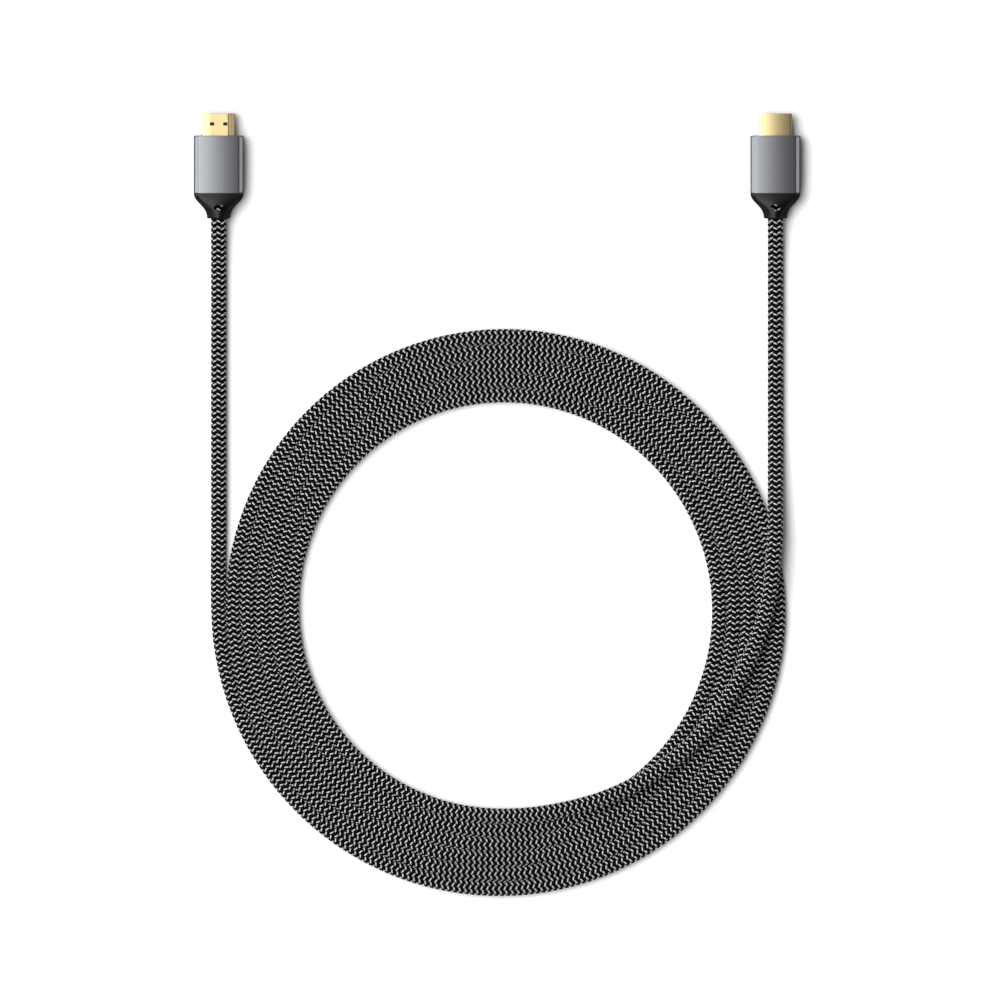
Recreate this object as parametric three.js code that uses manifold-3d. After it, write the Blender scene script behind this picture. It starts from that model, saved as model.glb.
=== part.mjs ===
// A braided audio and video cable with a 19-contact plug on each end, lying flat in a round coil.
// Millimetres, +Z up. The origin is on the floor, midway between the two plugs.
// Both plugs point along +Y. The left one lies narrow side up and the right one wide side up.

import * as THREE from "three";
import { mergeVertices } from "three/addons/utils/BufferGeometryUtils.js";
import Module from "manifold-3d";

const wasm = await Module();
wasm.setup();

// Cable and coil
const cable_d = 6.1;
const coil_start_r = 118.9; // centreline of the outermost turn, where the left lead runs into it
const coil_sweep_deg = 1870; // how far the turns lie flat, from that point to where the inner end rises
const coil_edge = 1.6; // rounding of the coil's rims
const lead_length = 164; // from the boot's end to the level of the coil's centre
const plug_spacing = 233.8;

// Plug: the lengths run back from the shell's tip
const nose_length = 9.3; // shell in front of the housing
const housing_length = 24.2;
const boot_length = 10.6;

// Shell: 13.9 by 4.45 is the standard's outside size of the plug
const shell_w = 13.9;
const shell_h = 4.45;
const shell_wall = 0.35;
const shell_corner = 0.5;
const shell_side_h = 2.85; // height of the wide part, up to the ledge
const shell_narrow_w = 9.5; // width over the bends of the narrow face
const shell_ledge_w = 11.5; // width at the foot of the slope between the ledge and the narrow face
const shell_seat = 3; // how deep the shell sits in the core
const window_w = 1.85;
const window_l = 1.35;
const window_spacing = 5.5;
const window_from_tip = 4.4;

// Contact block: the slot takes the socket's tongue, with ten contacts on its wide side and nine opposite
const block_setback = 0.4;
const slot_w = 11.2;
const slot_h = 1.7;
const slot_base = 1.15; // height of the slot's floor over the shell's wide face
const slot_depth = 7;
const contact_w = 0.45;
const contact_t = 0.25;
const contact_length = 6;
const contact_setback = 0.6; // behind the block's front face
const contact_pitch = 1;
const contact_rows = [10, 9];

// Housing and core
const housing_w = 21;
const housing_h = 10.5;
const housing_wall = 0.9;
const chamfer_w = 1.9;
const chamfer_h = 2.4;
const core_setback = 0.5;

// Boot
const boot_end_w = 9.8;
const boot_end_h = 9.2;
const boot_end_chamfer_w = 2.8;
const boot_end_chamfer_h = 2.6;
const boot_sections = 12;
const peephole_w = 4.3;
const peephole_l = 2.8;
const peephole_from_front = 6.1;

// Clearances
const nest_gap = 0.1; // between a piece and the one that it sits in
const cord_gap = 0.3; // between the cable and what it passes through or over

// Worked out from the sizes above
const cable_r = cable_d / 2;
const plug_length = nose_length + housing_length + boot_length;
const tip_y = plug_length / 2;
const housing_front_y = tip_y - nose_length;
const boot_front_y = housing_front_y - housing_length;
const boot_end_y = boot_front_y - boot_length;
const plug_x = plug_spacing / 2;
const plug_z = housing_h / 2;
const coil_x = coil_start_r - plug_x;
const coil_y = boot_end_y - lead_length;
const over_z = cable_d + cable_r + cord_gap; // centreline of the strand that crosses the coil

const gold = new THREE.MeshStandardMaterial({ color: 0xe8c987, metalness: 1, roughness: 0.25 });
const contact_gold = new THREE.MeshStandardMaterial({ color: 0xd9b25c, metalness: 1, roughness: 0.3 });
const block_black = new THREE.MeshStandardMaterial({ color: 0x151516, metalness: 0, roughness: 0.5 });
const space_grey = new THREE.MeshStandardMaterial({ color: 0x97999d, metalness: 1, roughness: 0.38 });
const core_black = new THREE.MeshStandardMaterial({ color: 0x1a1a1b, metalness: 0, roughness: 0.6 });
const boot_black = new THREE.MeshStandardMaterial({ color: 0x232425, metalness: 0, roughness: 0.55 });
const braid = new THREE.MeshStandardMaterial({ color: 0x2b2b2c, metalness: 0, roughness: 0.85 });

// Solids for cutting and joining
function solidOf(geometry) {
  const bare = geometry.clone();
  bare.deleteAttribute("normal");
  bare.deleteAttribute("uv");
  const merged = mergeVertices(bare, 1e-4);
  return new wasm.Manifold(
    new wasm.Mesh({
      numProp: 3,
      vertProperties: merged.attributes.position.array,
      triVerts: new Uint32Array(merged.index.array),
    }),
  );
}

function geometryOf(solid) {
  const { numProp, vertProperties, triVerts } = solid.getMesh();
  const position = new Float32Array((vertProperties.length / numProp) * 3);
  for (let i = 0; i < position.length / 3; i++) {
    position.set(vertProperties.subarray(i * numProp, i * numProp + 3), i * 3);
  }
  const geometry = new THREE.BufferGeometry();
  geometry.setAttribute("position", new THREE.BufferAttribute(position, 3));
  geometry.setIndex(new THREE.BufferAttribute(new Uint32Array(triVerts), 1));
  geometry.computeVertexNormals();
  return geometry;
}

function cut(geometry, ...tools) {
  return geometryOf(tools.reduce((left, tool) => left.subtract(solidOf(tool)), solidOf(geometry)));
}

// A section drawn in X and Z, run along Y between two places
const ALONG_Y = new THREE.Matrix4().makeBasis(
  new THREE.Vector3(1, 0, 0),
  new THREE.Vector3(0, 0, 1),
  new THREE.Vector3(0, -1, 0),
);

function prism(outline, back_y, front_y, hole) {
  const shape = new THREE.Shape(outline);
  if (hole) {
    shape.holes.push(new THREE.Path(hole));
  }
  const geometry = new THREE.ExtrudeGeometry(shape, { depth: front_y - back_y, bevelEnabled: false });
  return geometry.applyMatrix4(ALONG_Y).translate(0, front_y, 0);
}

function box(width, back_y, front_y, low_z, high_z) {
  const geometry = new THREE.BoxGeometry(width, front_y - back_y, high_z - low_z);
  return geometry.translate(0, (back_y + front_y) / 2, (low_z + high_z) / 2);
}

// Each point of a closed outline moved inwards by a distance, so that the walls stay even
function inset(outline, distance) {
  return outline.map((point, i) => {
    const before = outline[(i + outline.length - 1) % outline.length];
    const after = outline[(i + 1) % outline.length];
    const in_1 = new THREE.Vector2(before.y - point.y, point.x - before.x).normalize();
    const in_2 = new THREE.Vector2(point.y - after.y, after.x - point.x).normalize();
    const move = distance / (1 + in_1.dot(in_2));
    return new THREE.Vector2(point.x + (in_1.x + in_2.x) * move, point.y + (in_1.y + in_2.y) * move);
  });
}

// The plug's D section, wide face down and centred on the plug's middle height
function shellOutline() {
  const low = -shell_h / 2;
  const half = shell_w / 2;
  const bend = shell_corner * (1 - Math.SQRT1_2); // how far a rounded corner's middle stands in
  const side_top = low + shell_side_h;
  const foot = shell_ledge_w / 2;
  const narrow = shell_narrow_w / 2;
  const right = [
    [half - shell_corner, low],
    [half - bend, low + bend],
    [half, low + shell_corner],
    [half, side_top - shell_corner],
    [half - bend, side_top - bend],
    [half - shell_corner, side_top],
    [foot, side_top + bend],
    [foot - shell_corner / 2, side_top + shell_corner],
    [narrow, -low - shell_corner],
    [narrow - bend, -low - bend],
    [narrow - shell_corner, -low],
  ];
  const left = right.map(([x, z]) => [-x, z]).reverse();
  return [...right, ...left].map(([x, z]) => new THREE.Vector2(x, z));
}

// A rectangle with its four corners cut off
function chamferedOutline(width, height, cut_w, cut_h) {
  const x = width / 2;
  const z = height / 2;
  return [
    [x, cut_h - z],
    [x, z - cut_h],
    [x - cut_w, z],
    [cut_w - x, z],
    [-x, z - cut_h],
    [-x, cut_h - z],
    [cut_w - x, -z],
    [x - cut_w, -z],
  ].map((corner) => new THREE.Vector2(...corner));
}

function shellGeometry() {
  const outside = shellOutline();
  const inside = inset(outside, shell_wall);
  const tube = prism(outside, housing_front_y - core_setback - shell_seat, tip_y, inside);
  const window_y = tip_y - window_from_tip;
  const windows = [-1, 1].map((side) =>
    box(window_w, window_y - window_l / 2, window_y + window_l / 2, 0, shell_h).translate(
      (side * window_spacing) / 2,
      0,
      0,
    ),
  );
  return cut(tube, ...windows);
}

function blockGeometry() {
  const outline = inset(shellOutline(), shell_wall + nest_gap);
  const front = tip_y - block_setback;
  const floor = slot_base - shell_h / 2;
  const block = prism(outline, housing_front_y - core_setback - shell_seat + nest_gap, front);
  return cut(block, box(slot_w, front - slot_depth, front + block_setback, floor, floor + slot_h));
}

// Contacts of one row lie on the slot's floor and those of the other row under its roof
function contactGeometry(row, index) {
  const x = (index - (contact_rows[row] - 1) / 2) * contact_pitch;
  const front = tip_y - block_setback - contact_setback;
  const floor = slot_base - shell_h / 2 + nest_gap / 2;
  const low = row === 0 ? floor : floor + slot_h - nest_gap - contact_t;
  return box(contact_w, front - contact_length, front, low, low + contact_t).translate(x, 0, 0);
}

function housingGeometry() {
  const outside = chamferedOutline(housing_w, housing_h, chamfer_w, chamfer_h);
  return prism(outside, boot_front_y, housing_front_y, inset(outside, housing_wall));
}

function coreGeometry() {
  const outside = chamferedOutline(housing_w, housing_h, chamfer_w, chamfer_h);
  const front = housing_front_y - core_setback;
  const core = prism(inset(outside, housing_wall + nest_gap), boot_front_y, front);
  const pocket = prism(inset(shellOutline(), -nest_gap), front - shell_seat - nest_gap, front + core_setback);
  return cut(core, pocket);
}

// Sections of eight points each, joined by side faces and closed at both ends
function loft(sections) {
  const around = sections[0].length;
  const position = sections.flat().flatMap((point) => point.toArray());
  const index = [];
  for (let s = 0; s + 1 < sections.length; s++) {
    for (let i = 0; i < around; i++) {
      const a = s * around + i;
      const b = s * around + ((i + 1) % around);
      index.push(a, b, b + around, a, b + around, a + around);
    }
  }
  const last = (sections.length - 1) * around;
  for (let i = 1; i + 1 < around; i++) {
    index.push(0, i + 1, i, last, last + i, last + i + 1);
  }
  const geometry = new THREE.BufferGeometry();
  geometry.setAttribute("position", new THREE.Float32BufferAttribute(position, 3));
  geometry.setIndex(index);
  return geometry;
}

// From the housing's section to a small one round the cable, in an S curve
function bootGeometry() {
  const sections = [];
  for (let s = 0; s <= boot_sections; s++) {
    const share = s / boot_sections;
    const full = 0.5 + 0.5 * Math.cos(Math.PI * share ** 0.9);
    const between = (front, end) => end + (front - end) * full;
    const outline = chamferedOutline(
      between(housing_w, boot_end_w),
      between(housing_h, boot_end_h),
      between(chamfer_w, boot_end_chamfer_w),
      between(chamfer_h, boot_end_chamfer_h),
    );
    const y = boot_front_y - share * boot_length;
    sections.push(outline.map((point) => new THREE.Vector3(point.x, y, point.y)));
  }
  const bore = new THREE.CylinderGeometry(cable_r + cord_gap, cable_r + cord_gap, 3 * boot_length, 24);
  bore.translate(0, boot_front_y, 0);
  const peephole = new THREE.CylinderGeometry(peephole_w / 2, peephole_w / 2, 2 * housing_h, 24);
  peephole.rotateX(Math.PI / 2).scale(1, peephole_l / peephole_w, 1);
  peephole.translate(0, boot_front_y - peephole_from_front, 0);
  return cut(loft(sections), bore, peephole);
}

// Radius of the coil's centreline after a sweep in degrees: each turn lies inside the last, touching it
function coilRadius(sweep) {
  return coil_start_r - (cable_d * sweep) / 360;
}

// A point of the coil, whose sweep starts at the left and runs on below
function coilPoint(sweep, radius) {
  const angle = THREE.MathUtils.degToRad(180 + sweep);
  return new THREE.Vector2(radius * Math.cos(angle), radius * Math.sin(angle));
}

// One edge of the coil over a full turn: its ends lie on one ray, a strand apart
function coilEdge(start, side) {
  const step = 5;
  const edge = [];
  for (let turned = 0; turned <= 360; turned += step) {
    edge.push(coilPoint(start + turned, coilRadius(start + turned) + side * cable_r));
  }
  return edge;
}

// The cable leaves a boot straight, sinks to the floor and lies on it: distance behind the boot's front, height
const exit_path = [
  [cord_gap, plug_z],
  [boot_length / 2, plug_z],
  [boot_length, 5.1],
  [19, 4.5],
  [28, 3.6],
  [37, 3.1],
  [48, cable_r],
  [60, cable_r],
];

function exitPoints(x) {
  return exit_path.map(([behind, height]) => new THREE.Vector3(x, boot_front_y - behind, height));
}

const left_lead = [
  ...exitPoints(-plug_x),
  new THREE.Vector3(-plug_x, coil_y + 80, cable_r),
  new THREE.Vector3(-plug_x, coil_y + 40, cable_r),
  new THREE.Vector3(-plug_x, coil_y + cord_gap, cable_r),
];

// The inner end climbs out of the coil and crosses over the other turns: angle, radius, height
const crossing = [
  [250.2, 87.2, cable_r],
  [258, 87.1, 3.3],
  [266, 87.0, 4.1],
  [274, 87.1, 5.3],
  [282, 87.6, 6.7],
  [290, 88.6, 8.0],
  [298, 90.3, 9.0],
  [306, 92.2, 9.4],
  [314, 94.4, over_z],
  [323, 97.2, over_z],
  [332, 100.1, over_z],
  [341, 103.1, over_z],
  [350, 106.6, over_z],
  [357, 109.8, over_z],
  [363, 112.7, over_z],
  [369, 115.2, 9.4],
].map(([angle, radius, height]) => {
  const turned = THREE.MathUtils.degToRad(angle);
  return new THREE.Vector3(coil_x + radius * Math.cos(turned), coil_y + radius * Math.sin(turned), height);
});

// Then it comes down outside the coil and runs up to the right plug: distance above the coil's centre, height
const descent = [
  [31, 8.5],
  [44, 6.9],
  [58, 5.0],
  [72, 3.7],
  [87, 3.1],
  [104, cable_r],
].map(([above, height]) => new THREE.Vector3(plug_x, coil_y + above, height));

const right_lead = [...crossing, ...descent, ...exitPoints(plug_x).reverse()];

function tube(points, radius, steps) {
  const sides = 10;
  const section = [];
  for (let i = 0; i < sides; i++) {
    const angle = (2 * Math.PI * i) / sides;
    section.push(new THREE.Vector2(radius * Math.cos(angle), radius * Math.sin(angle)));
  }
  const path = new THREE.CatmullRomCurve3(points, false, "catmullrom", 0.5);
  return new THREE.ExtrudeGeometry(new THREE.Shape(section), { steps, extrudePath: path });
}

function coilGeometry() {
  const shape = new THREE.Shape(coilEdge(0, 1));
  shape.holes.push(new THREE.Path(coilEdge(coil_sweep_deg - 360, -1)));
  const ring = new THREE.ExtrudeGeometry(shape, {
    depth: cable_d - 2 * coil_edge,
    bevelThickness: coil_edge,
    bevelSize: coil_edge,
    bevelOffset: -coil_edge,
    bevelSegments: 2,
  });
  ring.translate(coil_x, coil_y, coil_edge);
  return cut(ring, tube(right_lead, cable_r + cord_gap, 60));
}

function named(name, geometry, material) {
  const mesh = new THREE.Mesh(geometry, material);
  mesh.name = name;
  return mesh;
}

function plug(side) {
  const group = new THREE.Group();
  group.add(
    named(side + "_shell", shellGeometry(), gold),
    named(side + "_contact_block", blockGeometry(), block_black),
    named(side + "_housing", housingGeometry(), space_grey),
    named(side + "_core", coreGeometry(), core_black),
    named(side + "_boot", bootGeometry(), boot_black),
  );
  let number = 1;
  contact_rows.forEach((count, row) => {
    for (let i = 0; i < count; i++) {
      const name = side + "_contact_" + String(number).padStart(2, "0");
      group.add(named(name, contactGeometry(row, i), contact_gold));
      number++;
    }
  });
  return group;
}

const left_plug = plug("left");
left_plug.position.set(-plug_x, 0, plug_z);

const right_plug = plug("right");
right_plug.position.set(plug_x, 0, plug_z);
right_plug.rotation.y = Math.PI;

const cable = new THREE.Group();
cable.add(
  named("cable_left_lead", tube(left_lead, cable_r, 13), braid),
  named("cable_coil", coilGeometry(), braid),
  named("cable_right_lead", tube(right_lead, cable_r, 32), braid),
);

const model = new THREE.Group();
model.add(left_plug, right_plug, cable);

export default model;
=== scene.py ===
import math

import bmesh
import bpy
import numpy as np
from mathutils import Matrix, Vector


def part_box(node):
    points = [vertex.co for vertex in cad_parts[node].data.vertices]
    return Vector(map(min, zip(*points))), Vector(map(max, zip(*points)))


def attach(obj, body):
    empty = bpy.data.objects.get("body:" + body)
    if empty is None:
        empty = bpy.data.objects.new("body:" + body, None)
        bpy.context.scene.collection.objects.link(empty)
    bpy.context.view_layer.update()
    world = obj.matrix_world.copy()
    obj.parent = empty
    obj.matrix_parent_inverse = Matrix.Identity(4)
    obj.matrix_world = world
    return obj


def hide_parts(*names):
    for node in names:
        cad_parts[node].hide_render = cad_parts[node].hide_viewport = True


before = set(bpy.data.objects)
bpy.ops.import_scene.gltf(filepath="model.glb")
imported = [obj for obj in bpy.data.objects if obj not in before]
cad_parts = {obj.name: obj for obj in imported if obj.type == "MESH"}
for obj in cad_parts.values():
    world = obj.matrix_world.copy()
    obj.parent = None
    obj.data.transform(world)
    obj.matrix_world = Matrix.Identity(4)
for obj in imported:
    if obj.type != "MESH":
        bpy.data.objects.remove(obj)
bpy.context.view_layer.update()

MM = 0.001

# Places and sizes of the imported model, in metres
PLUG_SIDES = ("left", "right")
shell_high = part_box("left_shell")[1]
housing_low, housing_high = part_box("left_housing")
boot_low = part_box("left_boot")[0]
PLUG_X = (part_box("right_housing")[1].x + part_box("right_housing")[0].x) / 2
PLUG_Z = housing_high.z / 2
TIP_Y = shell_high.y
HOUSING_FRONT_Y = housing_high.y
BOOT_FRONT_Y = housing_low.y
BOOT_END_Y = boot_low.y
HOUSING_W = housing_high.x - housing_low.x
HOUSING_H = housing_high.z - housing_low.z

# Cable and coil, as in the part
CABLE_D = 6.1 * MM
CABLE_R = CABLE_D / 2
CORD_GAP = 0.3 * MM
COIL_START_R = 118.9 * MM
COIL_SWEEP = 1870
COIL_X = COIL_START_R - PLUG_X
LEAD_LENGTH = 164 * MM
COIL_Y = BOOT_END_Y - LEAD_LENGTH


def srgb(code):
    """A hex colour as linear red, green, blue and alpha."""
    parts = [int(code[i : i + 2], 16) / 255 for i in (1, 3, 5)]
    linear = [p / 12.92 if p <= 0.04045 else ((p + 0.055) / 1.055) ** 2.4 for p in parts]
    return (*linear, 1.0)


def add(tree, kind, inputs=None, **settings):
    """A new node; inputs takes values and other nodes' outputs, by socket name or number."""
    made = tree.nodes.new(kind)
    for name, value in settings.items():
        setattr(made, name, value)
    for key, value in (inputs or {}).items():
        if isinstance(value, bpy.types.NodeSocket):
            tree.links.new(value, made.inputs[key])
        else:
            made.inputs[key].default_value = value
    return made


# Camera: straight down, square to the floor, with the photograph's frame of 420 mm
FRAME_WIDTH = 0.420
FRAME_CENTRE = (1.25 * MM, -140.3 * MM)
CAMERA_HEIGHT = 1.0


def make_camera():
    data = bpy.data.cameras.new("camera")
    data.type = "ORTHO"
    data.ortho_scale = FRAME_WIDTH
    camera = bpy.data.objects.new("camera", data)
    camera.location = (*FRAME_CENTRE, CAMERA_HEIGHT)
    bpy.context.scene.collection.objects.link(camera)
    bpy.context.scene.camera = camera


# Route of the cable, in mm and degrees. EXIT_PATH: distance behind the boot's front, and height
EXIT_PATH = [(0.3, 5.25), (5.3, 5.25), (10.6, 5.1), (19, 4.5), (28, 3.6), (37, 3.1), (48, 3.05), (60, 3.05)]
# Where the inner end climbs over the coil: angle and radius round the coil's middle, and height
CROSSING = [
    (250.2, 87.2, 3.05),
    (258, 87.1, 3.3),
    (266, 87.0, 4.1),
    (274, 87.1, 5.3),
    (282, 87.6, 6.7),
    (290, 88.6, 8.0),
    (298, 90.3, 9.0),
    (306, 92.2, 9.4),
    (314, 94.4, 9.45),
    (323, 97.2, 9.45),
    (332, 100.1, 9.45),
    (341, 103.1, 9.45),
    (350, 106.6, 9.45),
    (357, 109.8, 9.45),
    (363, 112.7, 9.45),
    (369, 115.2, 9.4),
]
# The lead's way down from the coil: distance above the coil's middle, and height
DESCENT = [(31, 8.5), (44, 6.9), (58, 5.0), (72, 3.7), (87, 3.1), (104, 3.05)]
COIL_STEP = 10  # degrees between the points of a turn
ROUTE_STEP = 2 * MM


def exit_points(x):
    return [Vector((x, BOOT_FRONT_Y - behind * MM, height * MM)) for behind, height in EXIT_PATH]


def polar_point(angle, radius, height):
    turned = math.radians(angle)
    return Vector((COIL_X + radius * math.cos(turned), COIL_Y + radius * math.sin(turned), height))


def coil_points():
    """The flat turns: each lies inside the last and touches it."""
    points = []
    for sweep in range(0, COIL_SWEEP, COIL_STEP):
        radius = COIL_START_R - CABLE_D * sweep / 360
        points.append(polar_point(180 + sweep, radius, CABLE_R))
    return points


def smooth_line(points, parts=12):
    """Catmull-Rom through the points, with the ends carried straight on."""
    ends = [2 * points[0] - points[1], *points, 2 * points[-1] - points[-2]]
    line = []
    for p0, p1, p2, p3 in zip(ends, ends[1:], ends[2:], ends[3:]):
        for part in range(parts):
            t = part / parts
            across = (p2 - p0) / 2
            beyond = (p3 - p1) / 2
            line.append(
                p1 * (2 * t**3 - 3 * t**2 + 1)
                + across * (t**3 - 2 * t**2 + t)
                + p2 * (3 * t**2 - 2 * t**3)
                + beyond * (t**3 - t**2)
            )
    return np.array([*line, points[-1]])


def even_line(line, step):
    """The same line with its points an even step apart."""
    run = np.concatenate([[0], np.cumsum(np.linalg.norm(np.diff(line, axis=0), axis=1))])
    wanted = np.linspace(0, run[-1], round(run[-1] / step) + 1)
    return np.stack([np.interp(wanted, run, line[:, axis]) for axis in range(3)], axis=1)


def cable_route():
    left_lead = exit_points(-PLUG_X)
    left_lead += [Vector((-PLUG_X, COIL_Y + above * MM, CABLE_R)) for above in (80, 40)]
    crossing = [polar_point(angle, radius * MM, height * MM) for angle, radius, height in CROSSING]
    descent = [Vector((PLUG_X, COIL_Y + above * MM, height * MM)) for above, height in DESCENT]
    points = left_lead + coil_points() + crossing + descent + exit_points(PLUG_X)[::-1]
    return even_line(smooth_line(points), ROUTE_STEP)


def line_frames(line):
    """Along, sideways and upward directions at each point of a line that never stands upright."""
    along = np.gradient(line, axis=0)
    along /= np.linalg.norm(along, axis=1)[:, None]
    side = np.cross([0, 0, 1], along)
    side /= np.linalg.norm(side, axis=1)[:, None]
    return along, side, np.cross(along, side)


def new_object(name, points, faces, material=None, smooth_angle=None):
    mesh = bpy.data.meshes.new(name)
    mesh.from_pydata([tuple(p) for p in points], [], [tuple(f) for f in faces])
    mesh.validate()
    if smooth_angle is not None:
        mesh.shade_smooth()
        mesh.set_sharp_from_angle(angle=math.radians(smooth_angle))
    made = bpy.data.objects.new(name, mesh)
    bpy.context.scene.collection.objects.link(made)
    if material:
        mesh.materials.append(material)
    return made


def outward(piece):
    """Turns all faces of a closed piece outwards."""
    shape = bmesh.new()
    shape.from_mesh(piece.data)
    bmesh.ops.recalc_face_normals(shape, faces=shape.faces)
    shape.to_mesh(piece.data)
    shape.free()


# Materials


def mapped_noise(tree, size, stretch=(1, 1, 1)):
    """Noise on Object coordinates, with features of about the given size in metres."""
    place = add(tree, "ShaderNodeTexCoord")
    mapped = add(tree, "ShaderNodeMapping", {"Vector": place.outputs["Object"], "Scale": stretch})
    noise = {"Vector": mapped.outputs["Vector"], "Scale": 1 / size, "Detail": 3.0}
    return add(tree, "ShaderNodeTexNoise", noise).outputs["Fac"]


def finish(name, low, high, grain, roughness, bump, stretch=(1, 1, 1), constants=None):
    """A Principled material: colour drifting from low to high, and a grain of a real size in metres
    that moves the roughness and the surface."""
    material = bpy.data.materials.new(name)
    material.use_nodes = True
    tree = material.node_tree
    shader = tree.nodes["Principled BSDF"]
    colours = {0: mapped_noise(tree, 12 * grain), 6: srgb(low), 7: srgb(high)}
    colour = add(tree, "ShaderNodeMix", colours, data_type="RGBA")
    tree.links.new(colour.outputs[2], shader.inputs["Base Color"])
    fine = mapped_noise(tree, grain, stretch)
    spread = {"Value": fine, "To Min": roughness[0], "To Max": roughness[1]}
    rough = add(tree, "ShaderNodeMapRange", spread)
    tree.links.new(rough.outputs["Result"], shader.inputs["Roughness"])
    relief = add(tree, "ShaderNodeBump", {"Height": fine, "Distance": bump, "Strength": 1.0})
    tree.links.new(relief.outputs["Normal"], shader.inputs["Normal"])
    for socket, value in (constants or {}).items():
        shader.inputs[socket].default_value = value
    return material


def yarn(name, low, high, roughness, painted_shade, constants=None):
    """A twisted yarn's finish with painted shade: darker towards each float's foot and tips, where it dips
    under its neighbours.
    """
    material = finish(name, low, high, 0.12 * MM, roughness, 0.02 * MM, constants=constants)
    tree = material.node_tree
    shader = tree.nodes["Principled BSDF"]
    colour = shader.inputs["Base Color"].links[0].from_socket
    # Painted shade: the crown share mixes the yarn towards a dark tone at each float's foot and tips
    crown = add(tree, "ShaderNodeAttribute", attribute_name="crown")
    shaded = add(
        tree, "ShaderNodeMix", {0: crown.outputs["Fac"], 6: srgb(painted_shade), 7: colour}, data_type="RGBA"
    )
    tree.links.new(shaded.outputs[2], shader.inputs["Base Color"])
    return material


def make_finishes():
    """Every material of the object, by what it is."""
    metal = {"Metallic": 1.0}
    satin = {"Specular IOR Level": 0.4}
    dull = {"Specular IOR Level": 0.08}
    return {
        # Twisted polyester yarn, bare and dyed; each one's last colour is painted shade at the floats' feet
        # and tips
        "light_yarn": yarn("polyester_yarn_light_grey", "#C9CACC", "#DCDDDE", (0.6, 0.75), "#303132"),
        "dark_yarn": yarn(
            "polyester_yarn_black", "#040405", "#080809", (0.5, 0.65), "#010101", constants=dull
        ),
        # Extruded cover under the yarns
        "jacket": finish("pvc_cover_black", "#030303", "#060606", 0.3 * MM, (0.6, 0.7), 0.01 * MM),
        # Plated sheet of the shells, with the faint lines of rolling along the plug
        "shell": finish(
            "gold_plated_sheet",
            "#FBE2A5",
            "#FFE8AE",
            0.1 * MM,
            (0.17, 0.22),
            0.0005 * MM,
            stretch=(1, 0.1, 1),
            constants=metal,
        ),
        # Plated strip of the contacts
        "contact": finish(
            "gold_plated_contact", "#DDB35C", "#E6C070", 0.1 * MM, (0.2, 0.28), 0.001 * MM, constants=metal
        ),
        # Bead-blasted and anodised sleeve
        "housing": finish(
            "anodised_aluminium_space_grey",
            "#8C8E92",
            "#929498",
            0.09 * MM,
            (0.21, 0.27),
            0.0008 * MM,
            constants=metal,
        ),
        # Smooth soft boot, moulded over the cable's end
        "boot": finish(
            "soft_pvc_black", "#030304", "#060606", 0.2 * MM, (0.23, 0.29), 0.0015 * MM, constants=satin
        ),
        # Stiff moulded blocks round the contacts and behind the shell
        "block": finish(
            "moulded_nylon_black", "#030303", "#060606", 0.2 * MM, (0.5, 0.6), 0.003 * MM, constants=satin
        ),
    }


# Cable


JACKET_R = 2.72 * MM
JACKET_SIDES = 12
BRAID_COLUMNS = 10
BRAID_PERIOD = 2.43 * MM  # along the cable, from one light float to the next in its column
BRAID_STAGGER = 0.29  # how far, in periods, one lean's floats lie behind the other's
BRAID_START = 0.3  # in periods, from the route's first point
FLOAT_RISE = 0.95 * MM
FLOAT_LOW_R = 2.8 * MM
FLOAT_TOP_R = 3.38 * MM
FLOAT_REACH = 0.62  # half a float's turn round the cable, as a share of a column
FLOAT_SINK = 0.1 * MM  # how far a float's two tips lie under its foot
FLOAT_RINGS = [(-0.62, 0.86), (0.0, 1.0), (0.62, 0.86)]  # place along the float, and how full it is there
# Each colour's place in the period, and its width
LIGHT_FLOAT = (0.37, 1.12 * MM)
DARK_FLOAT = (0.87, 1.6 * MM)


def make_jacket(route, finishes):
    """The round jacket under the braid, closed at both ends."""
    sides = JACKET_SIDES
    _, side, up = line_frames(route)
    points = []
    for centre, across, above in zip(route, side, up):
        for i in range(sides):
            angle = 2 * math.pi * i / sides
            points.append(centre + JACKET_R * (math.cos(angle) * across + math.sin(angle) * above))
    faces = []
    for ring in range(len(route) - 1):
        for i in range(sides):
            a = ring * sides + i
            b = ring * sides + (i + 1) % sides
            faces.append((a, b, b + sides, a + sides))
    last = (len(route) - 1) * sides
    faces.append(tuple(range(sides))[::-1])
    faces.append(tuple(range(last, last + sides)))
    return new_object("cable_jacket", points, faces, finishes["jacket"], 60)


def make_float(name, lean, width):
    """One visible stretch of yarn: it leans across its column and dips at both ends."""
    half_turn = math.radians(360 / BRAID_COLUMNS) * FLOAT_REACH

    def place(share, out, along):
        angle = lean * share * half_turn
        x = share * FLOAT_RISE / 2 + along
        return (x, -out * math.sin(angle), out * math.cos(angle))

    points = [place(-1, FLOAT_LOW_R - FLOAT_SINK, 0)]
    for share, full in FLOAT_RINGS:
        top = FLOAT_LOW_R + (FLOAT_TOP_R - FLOAT_LOW_R) * full
        points.append(place(share, FLOAT_LOW_R, -width / 2 * full))
        points.append(place(share, top, 0))
        points.append(place(share, FLOAT_LOW_R, width / 2 * full))
    points.append(place(1, FLOAT_LOW_R - FLOAT_SINK, 0))
    faces = []
    end = len(points) - 1
    for i in range(3):
        j = (i + 1) % 3
        faces.append((0, 1 + j, 1 + i))
        for ring in range(len(FLOAT_RINGS) - 1):
            a = 1 + 3 * ring
            faces.append((a + i, a + j, a + j + 3, a + i + 3))
        a = 1 + 3 * (len(FLOAT_RINGS) - 1)
        faces.append((end, a + i, a + j))
    made = new_object(name, points, faces)
    outward(made)
    made.data.shade_smooth()
    # The crown share sets the yarn's painted shade: 0 at the foot and tips, full at the crest
    crown = made.data.attributes.new("crown", "FLOAT", "POINT")
    heights = [0.0]
    for _, full in FLOAT_RINGS:
        heights += [0.0, full, 0.0]
    crown.data.foreach_set("value", [*heights, 0.0])
    return made


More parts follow.
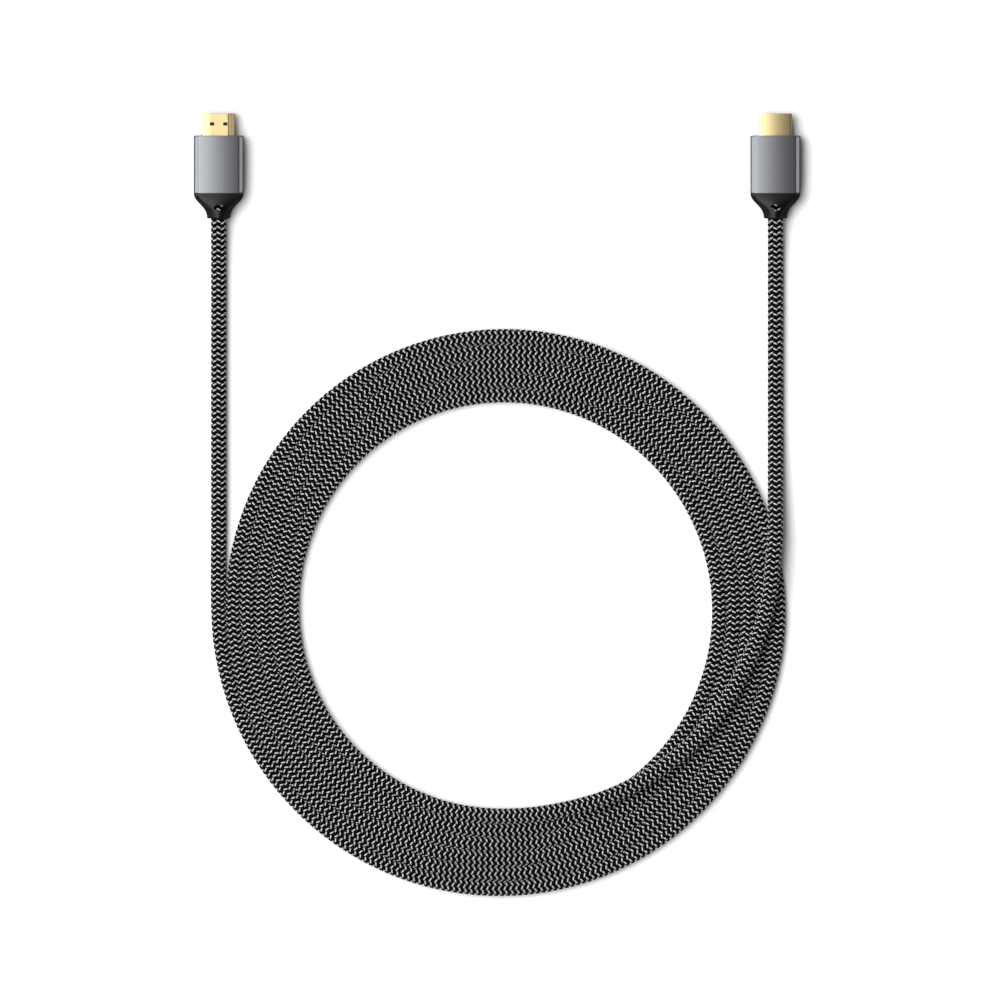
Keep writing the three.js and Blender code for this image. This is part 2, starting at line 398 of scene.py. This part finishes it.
BRAID_SOCKETS = (
    ("Route", "NodeSocketGeometry"),
    ("Float leaning left", "NodeSocketObject"),
    ("Float leaning right", "NodeSocketObject"),
    ("Yarn", "NodeSocketMaterial"),
    ("Columns", "NodeSocketInt"),
    ("Floats", "NodeSocketInt"),
    ("Period", "NodeSocketFloat"),
    ("Start", "NodeSocketFloat"),
    ("Stagger", "NodeSocketFloat"),
)


def make_braid_tree():
    """Lays floats in columns round a line: even columns take one lean and odd columns the other."""
    tree = bpy.data.node_groups.new("braid_floats", "GeometryNodeTree")
    for name, kind in BRAID_SOCKETS:
        tree.interface.new_socket(name, in_out="INPUT", socket_type=kind)
    tree.interface.new_socket("Braid", in_out="OUTPUT", socket_type="NodeSocketGeometry")
    given = add(tree, "NodeGroupInput").outputs

    def math_node(operation, *values):
        return add(tree, "ShaderNodeMath", dict(enumerate(values)), operation=operation).outputs[0]

    def vector_node(operation, *values):
        return add(tree, "ShaderNodeVectorMath", dict(enumerate(values)), operation=operation).outputs[0]

    def scaled(vector, amount):
        inputs = {0: vector, "Scale": amount}
        return add(tree, "ShaderNodeVectorMath", inputs, operation="SCALE").outputs[0]

    index = add(tree, "GeometryNodeInputIndex").outputs[0]
    column = math_node("MODULO", index, given["Columns"])
    row = math_node("FLOOR", math_node("DIVIDE", math_node("ADD", index, 0.01), given["Columns"]))
    odd = math_node("MODULO", column, 2.0)
    steps = math_node("ADD", row, math_node("MULTIPLY", odd, given["Stagger"]))
    along = math_node("ADD", given["Start"], math_node("MULTIPLY", steps, given["Period"]))
    curve = add(tree, "GeometryNodeMeshToCurve", {0: given["Route"]}).outputs[0]
    sample = add(tree, "GeometryNodeSampleCurve", {"Curves": curve, "Length": along}, mode="LENGTH")
    tangent = sample.outputs["Tangent"]
    side = vector_node("NORMALIZE", vector_node("CROSS_PRODUCT", (0.0, 0.0, 1.0), tangent))
    up = vector_node("CROSS_PRODUCT", tangent, side)
    turn = math_node("DIVIDE", math.tau, given["Columns"])
    angle = math_node("ADD", math_node("MULTIPLY", column, turn), math.pi / 2)
    away = vector_node(
        "ADD", scaled(side, math_node("COSINE", angle)), scaled(up, math_node("SINE", angle))
    )
    rotation = add(
        tree,
        "FunctionNodeAxesToRotation",
        {"Primary Axis": away, "Secondary Axis": tangent},
        primary_axis="Z",
        secondary_axis="X",
    ).outputs[0]
    places = {"Count": given["Floats"], "Position": sample.outputs["Position"]}
    points = add(tree, "GeometryNodePoints", places)
    join = add(tree, "GeometryNodeJoinGeometry")
    even = math_node("LESS_THAN", odd, 0.5)
    for name, chosen in (("Float leaning left", even), ("Float leaning right", odd)):
        shape = add(tree, "GeometryNodeObjectInfo", {"Object": given[name]})
        laid = add(
            tree,
            "GeometryNodeInstanceOnPoints",
            {
                "Points": points.outputs[0],
                "Selection": chosen,
                "Instance": shape.outputs["Geometry"],
                "Rotation": rotation,
            },
        )
        tree.links.new(laid.outputs[0], join.inputs[0])
    real = add(tree, "GeometryNodeRealizeInstances", {0: join.outputs[0]})
    dyed = add(tree, "GeometryNodeSetMaterial", {"Geometry": real.outputs[0], "Material": given["Yarn"]})
    add(tree, "NodeGroupOutput", {0: dyed.outputs[0]})
    return tree


def run_braid(tree, route, name, values):
    """Runs the braid's tree on the route and keeps its result as a plain mesh object."""
    line = bpy.data.meshes.new(name + "_route")
    line.from_pydata([tuple(p) for p in route], [(i, i + 1) for i in range(len(route) - 1)], [])
    holder = bpy.data.objects.new(name, line)
    bpy.context.scene.collection.objects.link(holder)
    modifier = holder.modifiers.new("braid", "NODES")
    modifier.node_group = tree
    identifiers = {s.name: s.identifier for s in tree.interface.items_tree if s.in_out == "INPUT"}
    for socket, value in values.items():
        modifier[identifiers[socket]] = value
    graph = bpy.context.evaluated_depsgraph_get()
    plain = bpy.data.meshes.new_from_object(holder.evaluated_get(graph))
    plain.name = name
    for vertex in plain.vertices:
        vertex.co.z = max(vertex.co.z, 0.0)
    holder.modifiers.clear()
    holder.data = plain
    bpy.data.meshes.remove(line)
    return holder


def make_braid(route, finishes):
    """Light and dark floats, each colour in two pieces, one for each half of the cable."""
    tree = make_braid_tree()
    length = float(np.linalg.norm(np.diff(route, axis=0), axis=1).sum())
    rows = int(length / BRAID_PERIOD) - 1
    half = rows // 2
    pieces = []
    for colour, material, offset, width in (
        ("light", finishes["light_yarn"], *LIGHT_FLOAT),
        ("dark", finishes["dark_yarn"], *DARK_FLOAT),
    ):
        left = make_float("float_left", -1, width)
        right = make_float("float_right", 1, width)
        for number, (first, count) in enumerate(((0, half), (half, rows - half)), start=1):
            values = {
                "Float leaning left": left,
                "Float leaning right": right,
                "Yarn": material,
                "Columns": BRAID_COLUMNS,
                "Floats": count * BRAID_COLUMNS,
                "Period": BRAID_PERIOD,
                "Start": (BRAID_START + offset + first) * BRAID_PERIOD,
                "Stagger": BRAID_STAGGER,
            }
            pieces.append(run_braid(tree, route, f"braid_{colour}_{number}", values))
        bpy.data.objects.remove(left)
        bpy.data.objects.remove(right)
    return pieces


# Plugs: each piece is drawn narrow face up, round the plug's own middle. The right plug lies turned over

SHELL_W = 13.9 * MM
SHELL_H = 4.45 * MM
SHELL_WALL = 0.35 * MM
SHELL_SIDE_H = 3.3 * MM
SHELL_NARROW_W = 8.3 * MM
SHELL_LEDGE_W = 11.1 * MM
SHELL_CROWN = 0.25 * MM
SHELL_BENDS = [0.4 * MM, 0.3 * MM, 0.3 * MM, 0.5 * MM]  # side's foot, side's top, ledge, narrow face
SHELL_END_EDGE = 0.14 * MM
SHELL_IN_HOUSING = 3.5 * MM
END_RING = 0.7 * MM  # from a piece's end to the ring that keeps its long sides straight in their shading
WINDOW_W = 1.85 * MM
WINDOW_L = 1.35 * MM
WINDOW_SPACING = 5.6 * MM
WINDOW_FROM_TIP = 4.4 * MM
HOUSING_WALL = 0.9 * MM
HOUSING_CROWN = 0.5 * MM
HOUSING_FRONT_EDGE = 0.4 * MM
HOUSING_BACK_EDGE = 0.18 * MM
CHAMFER_W = 1.9 * MM
CHAMFER_H = 1.75 * MM
SLEEVE_SIDE_BEND = 1.7 * MM
SLEEVE_FACE_BEND = 0.45 * MM
BOOT_END_W = 9.8 * MM
BOOT_END_H = 9.2 * MM
BOOT_END_CHAMFER_W = 2.8 * MM
BOOT_END_CHAMFER_H = 2.6 * MM
BOOT_END_CROWN = 2.4 * MM
BOOT_END_SIDE_BEND = 1.0 * MM
BOOT_END_FACE_BEND = 1.2 * MM
BOOT_END_EDGE = 0.6 * MM
BOOT_SHY = 0.1 * MM  # how much smaller than the sleeve the boot's front is
BOOT_SECTIONS = 24
PEEPHOLE_W = 4.3 * MM
PEEPHOLE_L = 2.8 * MM
PEEPHOLE_FROM_FRONT = 6.1 * MM
CONTACTS = 19


def rounded_outline(corners, radii, side_parts, bend_parts=5):
    """A closed outline whose corners are each turned by an arc of their own radius. Each corner's
    straight side to the next corner is divided into its own number of parts."""
    arcs = []
    for i, (corner, radius) in enumerate(zip(corners, radii)):
        here = Vector(corner)
        back = (Vector(corners[i - 1]) - here).normalized()
        ahead = (Vector(corners[(i + 1) % len(corners)]) - here).normalized()
        half = back.angle(ahead) / 2
        centre = here + (back + ahead).normalized() * radius / math.sin(half)
        first = here + back * radius / math.tan(half) - centre
        last = here + ahead * radius / math.tan(half) - centre
        sweep = first.angle(last)
        arc = []
        for part in range(bend_parts + 1):
            share = part / bend_parts
            arm = first * math.sin((1 - share) * sweep) + last * math.sin(share * sweep)
            arc.append(centre + arm / math.sin(sweep))
        arcs.append(arc)
    outline = []
    for arc, after, parts in zip(arcs, arcs[1:] + arcs[:1], side_parts):
        outline += arc
        outline += [arc[-1].lerp(after[0], part / parts) for part in range(1, parts)]
    return outline


def crowned(outline, half_w, half_h, sagitta, low_side=True, high_side=True):
    """Bulges the wide faces: they keep their height in the middle and lose the sagitta at the edges."""
    points = []
    for point in outline:
        wanted = high_side if point.y > 0 else low_side
        fall = sagitta * (point.x / half_w) ** 2 * point.y / half_h
        points.append(Vector((point.x, point.y - fall if wanted else point.y)))
    return points


def shrunk(outline, distance, half_w, half_h):
    return [Vector((p.x * (1 - distance / half_w), p.y * (1 - distance / half_h))) for p in outline]


def inset(outline, distance):
    """Each point moved inwards by the distance, so that a wall stays even."""
    moved = []
    for i, point in enumerate(outline):
        before = outline[i - 1]
        after = outline[(i + 1) % len(outline)]
        in_1 = Vector((before.y - point.y, point.x - before.x)).normalized()
        in_2 = Vector((point.y - after.y, after.x - point.x)).normalized()
        moved.append(point + (in_1 + in_2) * distance / (1 + in_1.dot(in_2)))
    return moved


def edge_steps(radius, parts=4):
    """Steps round an edge: how far each stands in from the side, and how far back from the end."""
    turns = [math.pi / 2 * part / parts for part in range(parts + 1)]
    return [(radius * (1 - math.cos(t)), radius * (1 - math.sin(t))) for t in turns]


def ring_mesh(name, rings, material, tube, smooth_angle=35):
    """Skins rings of (outline, y). A tube's last ring joins its first; caps close any other piece."""
    around = len(rings[0][0])
    points = [(p.x, y, p.y) for outline, y in rings for p in outline]
    faces = []
    count = len(rings)
    for ring in range(count if tube else count - 1):
        low = ring * around
        high = (ring + 1) % count * around
        for i in range(around):
            j = (i + 1) % around
            faces.append((low + i, low + j, high + j, high + i))
    if not tube:
        faces.append(tuple(range(around)))
        faces.append(tuple(range((count - 1) * around, count * around)))
    made = new_object(name, points, faces, material)
    outward(made)
    made.data.shade_smooth()
    made.data.set_sharp_from_angle(angle=math.radians(smooth_angle))
    return made


def cut_away(piece, cutters, smooth_angle=35):
    """Takes closed cutters away from a piece and removes them."""
    for cutter in cutters:
        modifier = piece.modifiers.new("cut", "BOOLEAN")
        modifier.operation = "DIFFERENCE"
        modifier.solver = "EXACT"
        modifier.object = cutter
    graph = bpy.context.evaluated_depsgraph_get()
    plain = bpy.data.meshes.new_from_object(piece.evaluated_get(graph))
    piece.modifiers.clear()
    old = piece.data
    piece.data = plain
    bpy.data.meshes.remove(old)
    plain.name = piece.name
    for cutter in cutters:
        bpy.data.objects.remove(cutter)
    plain.shade_smooth()
    plain.set_sharp_from_angle(angle=math.radians(smooth_angle))


def block(name, low, high):
    corners = [(x, y, z) for z in (low[2], high[2]) for y in (low[1], high[1]) for x in (low[0], high[0])]
    sides = [(0, 2, 3, 1), (4, 5, 7, 6), (0, 1, 5, 4), (2, 6, 7, 3), (0, 4, 6, 2), (1, 3, 7, 5)]
    return new_object(name, corners, sides)


def round_bar(name, centre, reach_1, reach_2, axis, sides=40):
    """A straight elliptical bar: reach_1 and reach_2 are half its widths, and axis half its length."""
    points = []
    for end in (-1, 1):
        for i in range(sides):
            turn = math.tau * i / sides
            points.append(centre + end * axis + reach_1 * math.cos(turn) + reach_2 * math.sin(turn))
    faces = [(i, (i + 1) % sides, sides + (i + 1) % sides, sides + i) for i in range(sides)]
    faces += [tuple(range(sides)), tuple(range(sides, 2 * sides))]
    bar = new_object(name, points, faces)
    outward(bar)
    return bar


def shell_outline():
    low = -SHELL_H / 2
    side_top = low + SHELL_SIDE_H
    right = [
        (SHELL_W / 2, low),
        (SHELL_W / 2, side_top),
        (SHELL_LEDGE_W / 2, side_top),
        (SHELL_NARROW_W / 2, SHELL_H / 2),
    ]
    left = [(-x, z) for x, z in reversed(right)]
    side_parts = [3, 1, 2, 12, 2, 1, 3, 20]
    outline = rounded_outline(right + left, SHELL_BENDS + SHELL_BENDS[::-1], side_parts)
    return crowned(outline, SHELL_W / 2, SHELL_H / 2, SHELL_CROWN, high_side=False)


def make_shell(name, finishes):
    outside = shell_outline()
    back = HOUSING_FRONT_Y - SHELL_IN_HOUSING
    rings = [(outside, back), (outside, back + END_RING), (outside, TIP_Y - END_RING)]
    for stands_in, behind in edge_steps(SHELL_END_EDGE, 3):
        rings.append((inset(outside, stands_in) if stands_in else outside, TIP_Y - behind))
    inside = inset(outside, SHELL_WALL)
    rings += [(inside, TIP_Y - 0.05 * MM), (inside, back)]
    shell = ring_mesh(name, rings, finishes["shell"], tube=True)
    window_y = TIP_Y - WINDOW_FROM_TIP
    windows = []
    for side in (-1, 1):
        x = side * WINDOW_SPACING / 2
        low = (x - WINDOW_W / 2, window_y - WINDOW_L / 2, 0)
        high = (x + WINDOW_W / 2, window_y + WINDOW_L / 2, SHELL_H)
        windows.append(block("window", low, high))
    cut_away(shell, windows)
    return shell


def sleeve_outline(width, height, cut_w, cut_h, side_bend, face_bend, crown):
    """A rectangle with cut corners, softened edges and gently bulged wide faces."""
    x = width / 2
    z = height / 2
    right = [(x - cut_w, -z), (x, cut_h - z), (x, z - cut_h), (x - cut_w, z)]
    left = [(-a, b) for a, b in reversed(right)]
    bends = [face_bend, side_bend, side_bend, face_bend]
    side_parts = [3, 4, 3, 18]
    outline = rounded_outline(right + left, bends + bends, side_parts + side_parts)
    return crowned(outline, x, z, crown)


def make_housing(name, finishes):
    half_w = HOUSING_W / 2
    half_h = HOUSING_H / 2
    outside = sleeve_outline(
        HOUSING_W, HOUSING_H, CHAMFER_W, CHAMFER_H, SLEEVE_SIDE_BEND, SLEEVE_FACE_BEND, HOUSING_CROWN
    )
    rings = []
    for stands_in, behind in reversed(edge_steps(HOUSING_BACK_EDGE, 3)):
        rings.append((shrunk(outside, stands_in, half_w, half_h), BOOT_FRONT_Y + behind))
    rings.append((outside, BOOT_FRONT_Y + END_RING))
    rings.append((outside, HOUSING_FRONT_Y - END_RING))
    for stands_in, behind in edge_steps(HOUSING_FRONT_EDGE, 5):
        rings.append((shrunk(outside, stands_in, half_w, half_h), HOUSING_FRONT_Y - behind))
    inside = shrunk(outside, HOUSING_WALL, half_w, half_h)
    rings += [(inside, HOUSING_FRONT_Y - 0.1 * MM), (inside, BOOT_FRONT_Y + 0.05 * MM)]
    return ring_mesh(name, rings, finishes["housing"], tube=True)


def make_boot(name, finishes):
    """From the sleeve's section to a small one round the cable, in an S curve, with a peephole."""
    length = BOOT_FRONT_Y - BOOT_END_Y
    rings = []

    def section(share):
        full = 0.5 + 0.5 * math.cos(math.pi * share ** (1.1 - 0.55 * share))

        def between(front, end):
            return end + (front - end) * full

        return sleeve_outline(
            between(HOUSING_W - BOOT_SHY, BOOT_END_W),
            between(HOUSING_H - BOOT_SHY, BOOT_END_H),
            between(CHAMFER_W, BOOT_END_CHAMFER_W),
            between(CHAMFER_H, BOOT_END_CHAMFER_H),
            between(SLEEVE_SIDE_BEND, BOOT_END_SIDE_BEND),
            between(SLEEVE_FACE_BEND, BOOT_END_FACE_BEND),
            between(HOUSING_CROWN, BOOT_END_CROWN),
        )

    for number in range(BOOT_SECTIONS + 1):
        share = number / BOOT_SECTIONS * (1 - BOOT_END_EDGE / length)
        rings.append((section(share), BOOT_FRONT_Y - share * length))
    last = rings.pop()[0]
    for stands_in, behind in edge_steps(BOOT_END_EDGE, 5):
        rings.append((shrunk(last, stands_in, BOOT_END_W / 2, BOOT_END_H / 2), BOOT_END_Y + behind))
    boot = ring_mesh(name, rings, finishes["boot"], tube=False)
    bore_r = CABLE_R + CORD_GAP
    middle = Vector((0, (BOOT_FRONT_Y + BOOT_END_Y) / 2, 0))
    bore = round_bar("bore", middle, Vector((bore_r, 0, 0)), Vector((0, 0, bore_r)), Vector((0, length, 0)))
    peephole = round_bar(
        "peephole",
        Vector((0, BOOT_FRONT_Y - PEEPHOLE_FROM_FRONT, 0)),
        Vector((PEEPHOLE_W / 2, 0, 0)),
        Vector((0, PEEPHOLE_L / 2, 0)),
        Vector((0, 0, HOUSING_H)),
    )
    cut_away(boot, [bore, peephole])
    return boot


def make_plug(side, finishes):
    """The dressed shell, housing and boot of one plug, laid where the plug lies."""
    pieces = {
        "shell": make_shell(f"{side}_plated_shell", finishes),
        "housing": make_housing(f"{side}_sleeve", finishes),
        "boot": make_boot(f"{side}_strain_relief", finishes),
    }
    place = Matrix.Translation((-PLUG_X, 0, PLUG_Z))
    if side == "right":
        place = Matrix.Translation((PLUG_X, 0, PLUG_Z)) @ Matrix.Rotation(math.pi, 4, "Y")
    for kind, piece in pieces.items():
        piece.data.transform(place)
        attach(piece, "root")
        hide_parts(f"{side}_{kind}")
    return pieces


def make_contacts(side, finishes):
    """The contacts of one plug as one piece, because a cord takes only a few pieces with it."""
    names = [f"{side}_contact_{number:02d}" for number in range(1, CONTACTS + 1)]
    points = []
    faces = []
    for name in names:
        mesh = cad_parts[name].data
        first = len(points)
        points += [vertex.co.copy() for vertex in mesh.vertices]
        faces += [[first + i for i in face.vertices] for face in mesh.polygons]
    contacts = new_object(f"{side}_contacts", points, faces, finishes["contact"])
    shape = bmesh.new()
    shape.from_mesh(contacts.data)
    bmesh.ops.remove_doubles(shape, verts=shape.verts, dist=0.001 * MM)
    shape.to_mesh(contacts.data)
    shape.free()
    outward(contacts)
    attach(contacts, "root")
    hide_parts(*names)
    return contacts


# Stage


def make_floor():
    """The pale floor. Reflections see it darker, as the plugs' flanks show it in the photograph."""
    half = 3.0
    corners = [(-half, -half, 0), (half, -half, 0), (half, half, 0), (-half, half, 0)]
    floor = new_object("floor", corners, [(0, 1, 2, 3)])
    material = bpy.data.materials.new("pale_floor")
    material.use_nodes = True
    tree = material.node_tree
    shader = tree.nodes["Principled BSDF"]
    rays = add(tree, "ShaderNodeLightPath")
    tones = {0: rays.outputs["Is Glossy Ray"], 6: srgb("#F4F4F4"), 7: srgb("#6A6A6A")}
    tone = add(tree, "ShaderNodeMix", tones, data_type="RGBA")
    tree.links.new(tone.outputs[2], shader.inputs["Base Color"])
    shader.inputs["Roughness"].default_value = 0.9
    shader.inputs["Specular IOR Level"].default_value = 0.1
    floor.data.materials.append(material)


def level_ramp(tree, value, reach, stops):
    """Grey levels over a value that runs from -reach to reach; the highest stop is full white."""
    share = add(tree, "ShaderNodeMapRange", {"Value": value, "From Min": -reach, "From Max": reach})
    ramp = add(tree, "ShaderNodeValToRGB", {"Fac": share.outputs["Result"]})
    elements = ramp.color_ramp.elements
    while len(elements) < len(stops):
        elements.new(0.5)
    top = max(level for _, level in stops)
    for element, (place, level) in zip(elements, stops):
        element.position = (reach + place) / (2 * reach)
        element.color = (level / top, level / top, level / top, 1.0)
    return ramp.outputs["Color"], top


def make_overhead_panel():
    """A broad diffuser high above the floor, bright on the left and falling off to the right."""
    half = 8.0
    height = 4.0
    corners = [(-half, -half, height), (half, -half, height), (half, half, height), (-half, half, height)]
    panel = new_object("overhead_diffuser", corners, [(3, 2, 1, 0)])
    material = bpy.data.materials.new("diffuser_light")
    material.use_nodes = True
    tree = material.node_tree
    tree.nodes.clear()
    place = add(tree, "ShaderNodeTexCoord")
    parts = add(tree, "ShaderNodeSeparateXYZ", {"Vector": place.outputs["Object"]})
    # Place along X in metres, and how bright the panel is there
    stops = (
        (-4.8, 0.4),
        (-2.4, 1.8),
        (-1.2, 2.6),
        (-0.68, 2.5),
        (-0.4, 1.75),
        (-0.2, 1.1),
        (0.0, 0.66),
        (0.2, 0.37),
        (0.5, 0.17),
        (1.0, 0.09),
        (4.0, 0.08),
    )
    colour, top = level_ramp(tree, parts.outputs["X"], half, stops)
    glow = add(tree, "ShaderNodeEmission", {"Color": colour, "Strength": top})
    add(tree, "ShaderNodeOutputMaterial", {"Surface": glow.outputs[0]})
    panel.data.materials.append(material)
    panel.visible_camera = False
    panel.visible_shadow = False


def make_lights():
    """Soft studio light: the panel overhead, a dimmer room, and one broad lamp high on the left."""
    scene = bpy.context.scene
    scene.view_settings.view_transform = "Standard"
    make_overhead_panel()
    world = bpy.data.worlds.new("studio")
    world.use_nodes = True
    scene.world = world
    tree = world.node_tree
    tree.nodes.clear()
    place = add(tree, "ShaderNodeTexCoord")
    parts = add(tree, "ShaderNodeSeparateXYZ", {"Vector": place.outputs["Generated"]})
    # How far a direction points to the right, and how bright the room is that way
    stops = (
        (-1.0, 2.8),
        (-0.985, 2.2),
        (-0.9, 0.6),
        (-0.6, 0.4),
        (0.0, 0.4),
        (0.6, 0.12),
        (0.9, 0.1),
        (0.985, 0.45),
        (1.0, 2.2),
    )
    colour, top = level_ramp(tree, parts.outputs["X"], 1.0, stops)
    glow = add(tree, "ShaderNodeBackground", {"Color": colour, "Strength": top})
    # The camera sees white past the floor's edge
    paper = add(tree, "ShaderNodeBackground", {"Color": srgb("#FFFFFF")})
    rays = add(tree, "ShaderNodeLightPath")
    seen = {0: rays.outputs["Is Camera Ray"], 1: glow.outputs[0], 2: paper.outputs[0]}
    mix = add(tree, "ShaderNodeMixShader", seen)
    add(tree, "ShaderNodeOutputWorld", {"Surface": mix.outputs[0]})

    lamp = bpy.data.lights.new("key", "SUN")
    lamp.energy = 2.65
    lamp.angle = math.radians(44)
    key = bpy.data.objects.new("key", lamp)
    key.rotation_euler = Vector((0.42, -0.12, -1.0)).to_track_quat("-Z", "Y").to_euler()
    key.visible_glossy = False
    scene.collection.objects.link(key)


make_camera()
finishes = make_finishes()
route = cable_route()
jacket = make_jacket(route, finishes)
braid = make_braid(route, finishes)
plugs = {side: make_plug(side, finishes) for side in PLUG_SIDES}
contacts = {side: make_contacts(side, finishes) for side in PLUG_SIDES}
make_floor()
make_lights()

for piece in (jacket, *braid):
    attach(piece, "root")
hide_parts("cable_left_lead", "cable_coil", "cable_right_lead")

# The moulded blocks and cores keep the model's own meshes
for side in PLUG_SIDES:
    for kind in ("contact_block", "core"):
        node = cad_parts[f"{side}_{kind}"]
        node.data.materials.clear()
        node.data.materials.append(finishes["block"])
